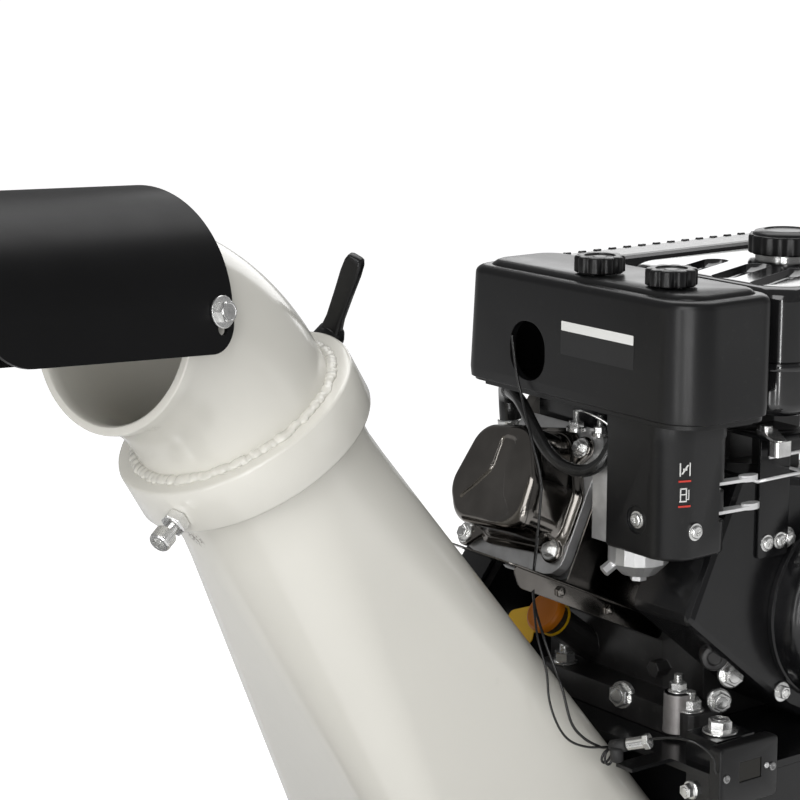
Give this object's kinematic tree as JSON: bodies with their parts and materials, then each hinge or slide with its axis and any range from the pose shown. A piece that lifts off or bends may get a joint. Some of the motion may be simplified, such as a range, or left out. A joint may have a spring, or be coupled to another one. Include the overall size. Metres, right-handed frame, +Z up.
{
  "type": "petrol garden shredder",
  "caption": "Towed petrol garden shredder with a drum, feed hopper, turning off-white discharge elbow with a black hood, and a small engine on a black frame.",
  "frame": {"origin": "middle of the machine's box, on the ground", "axes": "+X forward to the tow bar, +Y to the belt side, +Z up"},
  "size_m": [2.0446, 0.7706, 1.2244],
  "materials": {
    "bare_steel": "machined",
    "black_paint": "gloss black paint",
    "black_plastic": "satin moulded",
    "cast_aluminium": "as cast",
    "cast_steel": "heat darkened",
    "chute_paint": "gloss off-white paint",
    "filter_paper": "pleated paper",
    "machine_grey": "grey paint",
    "orange_plastic": "moulded",
    "polished_steel": "bright plated",
    "rubber": "moulded",
    "satin_black": "satin black powder coat",
    "wire_black": "insulation",
    "yellow_card": "printed card, blank",
    "zinc": "zinc plated"
  },
  "bodies": {
    "chassis": {"air_cleaner_box": "black_plastic", "air_filter": "filter_paper", "bearing_far": "machine_grey", "bearing_near": "machine_grey", "bed_knife": "bare_steel", "belt_guard": "black_paint", "blower_housing": "black_paint", "carburettor": "cast_aluminium", "carburettor_cover": "black_plastic", "chassis_frame": "black_paint", "control_bracket": "polished_steel", "crankcase": "machine_grey", "crankcase_cover": "machine_grey", "cylinder_barrel": "cast_aluminium", "cylinder_head": "cast_aluminium", "discharge_chute": "chute_paint", "drive_belt": "rubber", "drum_housing": "chute_paint", "feed_hopper": "black_paint", "fuel_tank": "black_paint", "hour_meter": "black_plastic", "ignition_lead": "wire_black", "meter_wire": "wire_black", "muffler": "cast_steel", "muffler_shield": "black_paint", "oil_tag": "yellow_card", "starter_cover": "black_paint", "tow_bar": "black_paint", "valve_cover": "polished_steel"},
    "wheel_left": {"left_rim": "chute_paint", "left_tyre": "rubber"},
    "wheel_right": {"right_rim": "chute_paint", "right_tyre": "rubber"},
    "leg": {"support_leg": "black_paint"},
    "drum": {"cutting_drum": "machine_grey", "knife_1": "bare_steel", "knife_2": "bare_steel", "drum_shaft": "bare_steel", "drum_pulley": "machine_grey"},
    "crank": {"crankshaft": "bare_steel", "flywheel": "machine_grey", "engine_pulley": "machine_grey"},
    "table": {"feed_table": "black_paint"},
    "curtain": {"feed_curtain": "rubber"},
    "elbow": {"discharge_elbow": "chute_paint", "collar_lock_nut": "zinc", "collar_set_screw": "zinc", "deflector_bolt_near": "zinc", "deflector_bolt_far": "zinc"},
    "clamp": {"clamp_lever": "black_plastic"},
    "hood": {"chute_deflector": "satin_black"},
    "grip": {"starter_grip": "black_plastic"},
    "tank_cap": {"fuel_cap": "black_plastic"},
    "oil_plug": {"oil_cap": "orange_plastic"},
    "knob_far": {"lid_knob_far": "black_plastic"},
    "knob_near": {"lid_knob_near": "black_plastic"},
    "choke": {"choke_lever": "black_plastic"},
    "fuel": {"fuel_lever": "black_plastic"},
    "throttle": {"throttle_lever": "zinc"}
  },
  "joints": [
    {"name": "left_wheel_spin", "type": "hinge", "parent": "chassis", "child": "wheel_left", "pos_m": [-0.2277, 0.325, 0.205], "axis": [0, 1, 0], "continuous": true},
    {"name": "right_wheel_spin", "type": "hinge", "parent": "chassis", "child": "wheel_right", "pos_m": [-0.2277, -0.325, 0.205], "axis": [0, 1, 0], "continuous": true},
    {"name": "support_leg_fold", "type": "hinge", "parent": "chassis", "child": "leg", "pos_m": [0.5523, 0, 0.173], "axis": [0, 1, 0], "range_deg": [0, 90]},
    {"name": "drum_spin", "type": "hinge", "parent": "chassis", "child": "drum", "pos_m": [-0.2077, 0, 0.43], "axis": [0, 1, 0], "continuous": true},
    {"name": "crank_spin", "type": "hinge", "parent": "chassis", "child": "crank", "pos_m": [0.0673, 0, 0.85], "axis": [0, 1, 0], "continuous": true},
    {"name": "feed_table_fold", "type": "hinge", "parent": "chassis", "child": "table", "pos_m": [-0.7193, 0, 0.339], "axis": [0, 1, 0], "range_deg": [0, 88]},
    {"name": "feed_curtain_swing", "type": "hinge", "parent": "chassis", "child": "curtain", "pos_m": [-0.426, 0, 0.514], "axis": [0, 1, 0], "range_deg": [-45, 60]},
    {"name": "elbow_turn", "type": "hinge", "parent": "chassis", "child": "elbow", "pos_m": [-0.4107, 0, 1.042], "axis": [-0.515, 0, 0.8572], "continuous": true},
    {"name": "clamp_lever_turn", "type": "hinge", "parent": "elbow", "child": "clamp", "pos_m": [-0.32404, 0.01919, 1.07307], "axis": [0.8384, 0.2079, 0.5038], "range_deg": [-90, 90]},
    {"name": "deflector_tilt", "type": "hinge", "parent": "elbow", "child": "hood", "pos_m": [-0.49827, -0.01165, 1.11814], "axis": [0.2649, -0.9511, 0.1592], "range_deg": [-24, 55]},
    {"name": "starter_pull", "type": "slide", "parent": "chassis", "child": "grip", "axis": [1, 0, 0], "range_m": [0, 0.25], "stiffness_N_per_m": 12, "springref_m": -0.05},
    {"name": "fuel_cap_turn", "type": "hinge", "parent": "chassis", "child": "tank_cap", "pos_m": [0.0963, -0.04, 1.112], "axis": [0, 0, 1], "continuous": true},
    {"name": "oil_cap_turn", "type": "hinge", "parent": "chassis", "child": "oil_plug", "pos_m": [-0.0777, 0.044, 0.82], "axis": [-0.8, 0, 0.6], "continuous": true},
    {"name": "lid_knob_far_turn", "type": "hinge", "parent": "chassis", "child": "knob_far", "pos_m": [-0.1187, -0.058, 1.1203], "axis": [0, 0, 1], "continuous": true},
    {"name": "lid_knob_near_turn", "type": "hinge", "parent": "chassis", "child": "knob_near", "pos_m": [-0.1187, -0.137, 1.1203], "axis": [0, 0, 1], "continuous": true},
    {"name": "choke_lever_swing", "type": "hinge", "parent": "chassis", "child": "choke", "pos_m": [-0.0837, -0.15, 0.97], "axis": [0, 0, 1], "range_deg": [-30, 8]},
    {"name": "fuel_lever_swing", "type": "hinge", "parent": "chassis", "child": "fuel", "pos_m": [-0.0837, -0.15, 0.9475], "axis": [0, 0, 1], "range_deg": [-30, 4]},
    {"name": "throttle_lever_swing", "type": "hinge", "parent": "chassis", "child": "throttle", "pos_m": [-0.0157, -0.136, 0.9983], "axis": [0, 0, 1], "range_deg": [-25, 25]}
  ],
  "couplings": [
    {"joint": "crank_spin", "follows": "drum_spin", "ratio": 1.9167}
  ]
}
